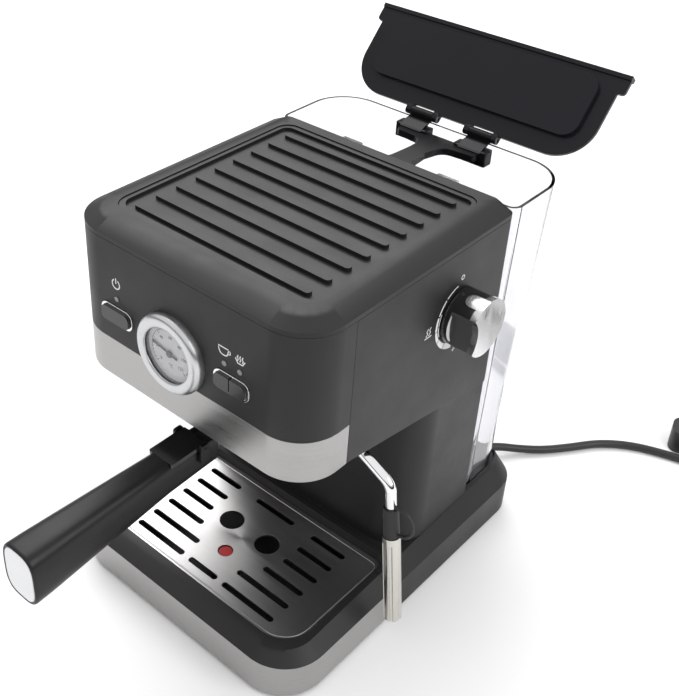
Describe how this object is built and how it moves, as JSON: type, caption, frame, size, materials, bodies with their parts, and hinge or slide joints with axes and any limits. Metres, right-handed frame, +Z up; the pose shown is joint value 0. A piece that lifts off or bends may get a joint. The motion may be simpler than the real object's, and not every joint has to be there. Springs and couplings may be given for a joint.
{
  "type": "espresso machine",
  "caption": "Worktop pump espresso machine with thermometer dial, push switches, steam wand, portafilter, drip tray and a clear rear tank with a hinged lid.",
  "frame": {"origin": "on the worktop, on the body's centre plane, under the middle of the body", "axes": "+X to the user's right, towards the steam knob; +Y from the front to the tank; +Z up"},
  "size_m": [0.4365, 0.6575, 0.3459],
  "materials": {
    "casing": "fine matt",
    "base_casing": "fine matt",
    "cup_rest": "matt ribbed",
    "foot_rubber": "matt",
    "screw_steel": "plated",
    "band_steel": "brushed along",
    "plate_steel": "brushed",
    "gauge_body": "satin",
    "dial_white": "printed",
    "lens_clear": "polished",
    "needle_black": "satin",
    "button_black": "satin gloss",
    "surround_bright": "plated",
    "board_green": "lacquered",
    "lamp_grey": "translucent",
    "knob_gloss": "gloss",
    "knob_chrome": "plated",
    "brass": "turned",
    "wand_chrome": "polished",
    "froth_steel": "polished",
    "sleeve_rubber": "matt",
    "group_metal": "cast",
    "filter_steel": "polished",
    "collar_chrome": "plated",
    "handle_black": "satin matt",
    "cap_white": "gloss",
    "guard_gloss": "gloss",
    "float_red": "satin",
    "tank_clear": "clear",
    "lid_black": "satin",
    "valve_black": "matt",
    "pump_black": "moulded",
    "hose_silicone": "matt",
    "cable_black": "satin",
    "pin_metal": "plated"
  },
  "bodies": {
    "housing": {"base_shell": "base_casing", "base_cover": "base_casing", "feet": "foot_rubber", "base_screws": "screw_steel", "column_shell": "casing", "head_band": "band_steel", "front_panel": "casing", "head_shell": "casing", "head_floor": "casing", "top_cover": "casing", "cup_tray": "cup_rest", "gauge_housing": "gauge_body", "gauge_bezel": "gauge_body", "gauge_dial": "dial_white", "gauge_lens": "lens_clear", "button_surrounds": "surround_bright", "button_springs": "screw_steel", "control_board": "board_green", "indicator_lamps": "lamp_grey", "steam_valve": "brass", "wand_socket": "wand_chrome", "group_head": "group_metal", "group_gasket": "foot_rubber", "shower_screen": "filter_steel", "boiler": "group_metal", "pump": "pump_black", "water_hoses": "hose_silicone", "tank_seat": "foot_rubber", "cord_relief": "cable_black", "cord_tube": "cable_black", "cord_coil": "cable_black", "cord_tail": "cable_black", "plug_body": "cable_black", "plug_pins": "pin_metal"},
    "needle": {"gauge_needle": "needle_black"},
    "power_button": {"power_button": "button_black"},
    "coffee_button": {"coffee_button": "button_black"},
    "steam_button": {"steam_button": "button_black"},
    "knob": {"knob_body": "knob_gloss", "knob_cap": "knob_chrome", "knob_spindle": "brass"},
    "wand": {"wand_pipe": "wand_chrome", "wand_sleeve": "sleeve_rubber", "froth_tube": "froth_steel"},
    "basket": {"filter_basket": "filter_steel"},
    "portafilter": {"filter_collar": "collar_chrome", "twin_spout": "handle_black", "handle_grip": "handle_black", "handle_cap": "cap_white", "guard_pin": "screw_steel"},
    "guard": {"filter_guard": "guard_gloss"},
    "tray": {"drip_tray": "base_casing", "tray_band": "band_steel"},
    "grid": {"drip_plate": "plate_steel"},
    "float": {"drip_float": "float_red"},
    "tank": {"tank": "tank_clear", "tank_valve": "valve_black", "tank_bridge": "lid_black", "hinge_pins": "screw_steel"},
    "lid": {"tank_lid": "lid_black"}
  },
  "joints": [
    {"name": "needle_turn", "type": "hinge", "parent": "housing", "child": "needle", "pos_m": [-0.0048, -0.125, 0.2305], "axis": [0, 1, 0], "range_deg": [-50, 200]},
    {"name": "power_press", "type": "slide", "parent": "housing", "child": "power_button", "axis": [0, 1, 0], "range_m": [0, 0.0018], "stiffness_N_per_m": 600},
    {"name": "coffee_press", "type": "slide", "parent": "housing", "child": "coffee_button", "axis": [0, 1, 0], "range_m": [0, 0.0018], "stiffness_N_per_m": 600},
    {"name": "steam_press", "type": "slide", "parent": "housing", "child": "steam_button", "axis": [0, 1, 0], "range_m": [0, 0.0018], "stiffness_N_per_m": 600},
    {"name": "knob_turn", "type": "hinge", "parent": "housing", "child": "knob", "pos_m": [0.1, 0.0226, 0.2374], "axis": [1, 0, 0], "range_deg": [0, 170]},
    {"name": "wand_swing", "type": "hinge", "parent": "housing", "child": "wand", "pos_m": [0.084, -0.05, 0.178], "axis": [0, 0, 1], "range_deg": [-60, 35]},
    {"name": "basket_drop", "type": "slide", "parent": "housing", "child": "basket", "axis": [0, 0, -1], "range_m": [0, 0.045]},
    {"name": "filter_twist", "type": "hinge", "parent": "basket", "child": "portafilter", "pos_m": [0, -0.056, 0.15], "axis": [0, 0, 1], "range_deg": [-50, 0]},
    {"name": "guard_flip", "type": "hinge", "parent": "portafilter", "child": "guard", "pos_m": [0, -0.1124, 0.1595], "axis": [1, 0, 0], "range_deg": [-55, 0]},
    {"name": "tray_slide", "type": "slide", "parent": "housing", "child": "tray", "axis": [0, -1, 0], "range_m": [0, 0.12]},
    {"name": "grid_lift", "type": "slide", "parent": "tray", "child": "grid", "axis": [0, 0, 1], "range_m": [0, 0.03]},
    {"name": "float_rise", "type": "slide", "parent": "tray", "child": "float", "axis": [0, 0, 1], "range_m": [0, 0.006]},
    {"name": "tank_lift", "type": "slide", "parent": "housing", "child": "tank", "axis": [0, 0, 1], "range_m": [0, 0.1]},
    {"name": "lid_close", "type": "hinge", "parent": "tank", "child": "lid", "pos_m": [0.0015, 0.149, 0.292], "axis": [1, 0, 0], "range_deg": [0, 133]}
  ]
}
